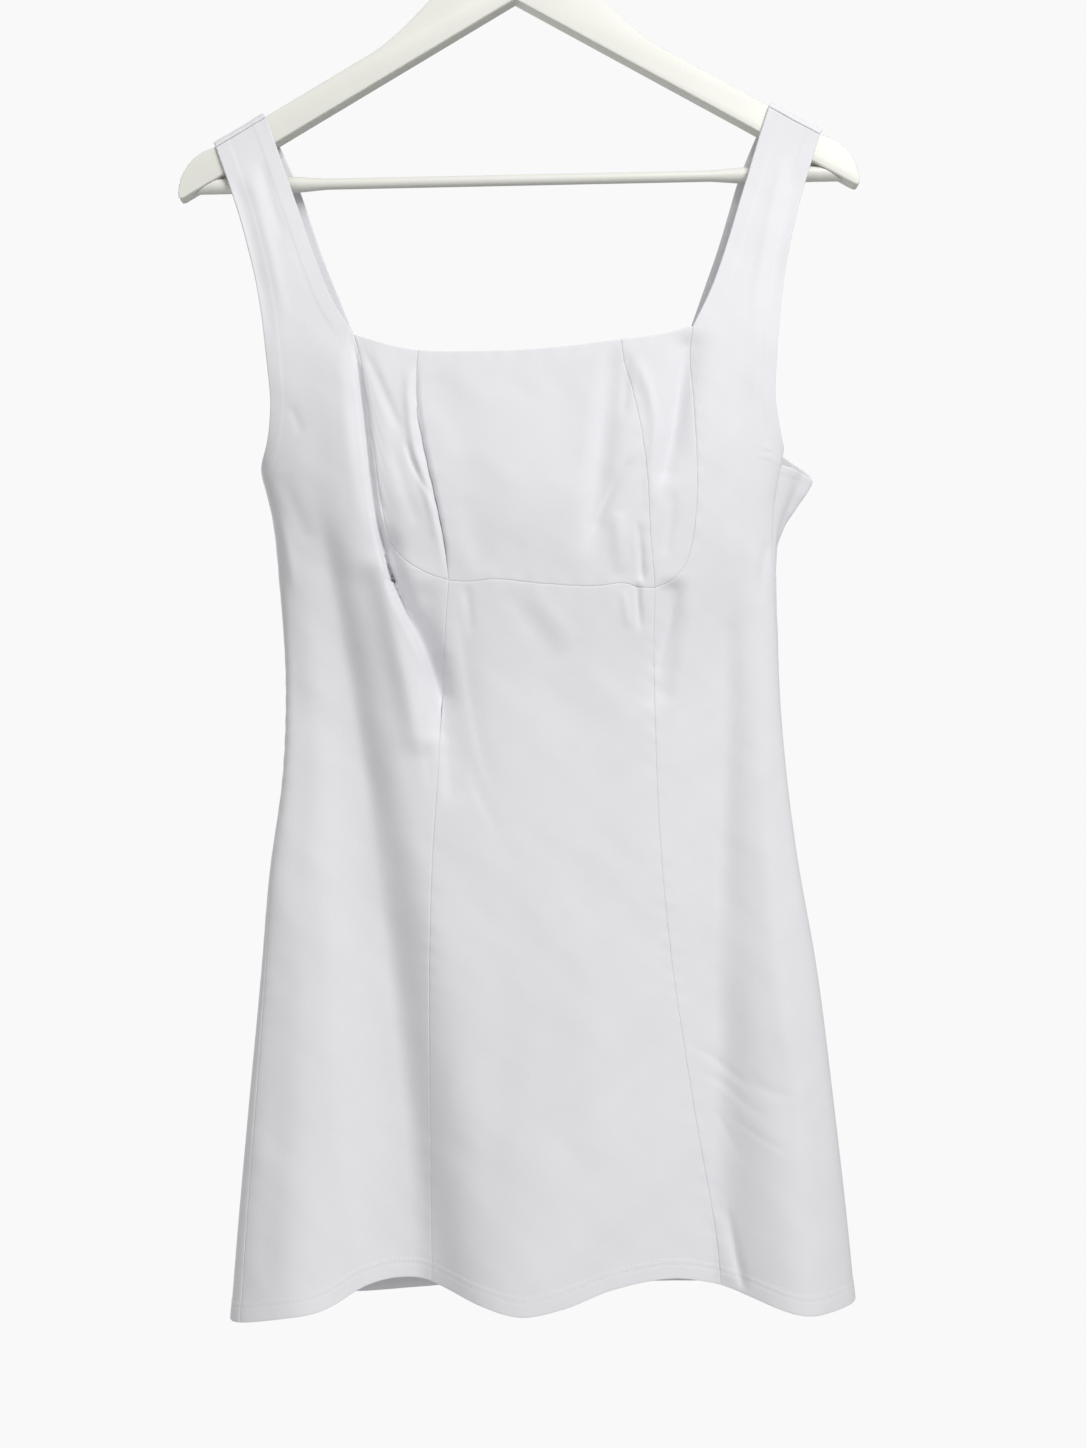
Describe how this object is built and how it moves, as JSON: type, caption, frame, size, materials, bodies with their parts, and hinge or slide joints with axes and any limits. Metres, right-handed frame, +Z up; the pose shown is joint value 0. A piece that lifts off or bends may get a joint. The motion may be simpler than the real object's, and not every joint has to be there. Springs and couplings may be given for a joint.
{
  "type": "sleeveless mini dress on a hanger",
  "caption": "Sleeveless square-necked mini dress with wide straps, bust seams and a flared skirt, hanging empty on a flat hanger with a trouser bar and a wire hook.",
  "frame": {"origin": "inside the crown of the hook, where it rests on a rail", "axes": "+Z up, +X to the right of someone who looks at the dress's front, -Y towards that person"},
  "size_m": [0.4458, 0.1003, 0.9739],
  "materials": {
    "white_crepe": "matte stretch crepe",
    "painted_hanger": "satin off-white paint",
    "polished_steel": "polished"
  },
  "bodies": {
    "root": {"front_side_left": "white_crepe", "front_side_right": "white_crepe", "bust_centre": "white_crepe", "bust_side_left": "white_crepe", "bust_side_right": "white_crepe", "front_skirt": "white_crepe", "back_left": "white_crepe", "back_right": "white_crepe", "hanger_arms": "painted_hanger", "hanger_bar": "painted_hanger", "hanger_hook": "polished_steel"}
  },
  "joints": []
}
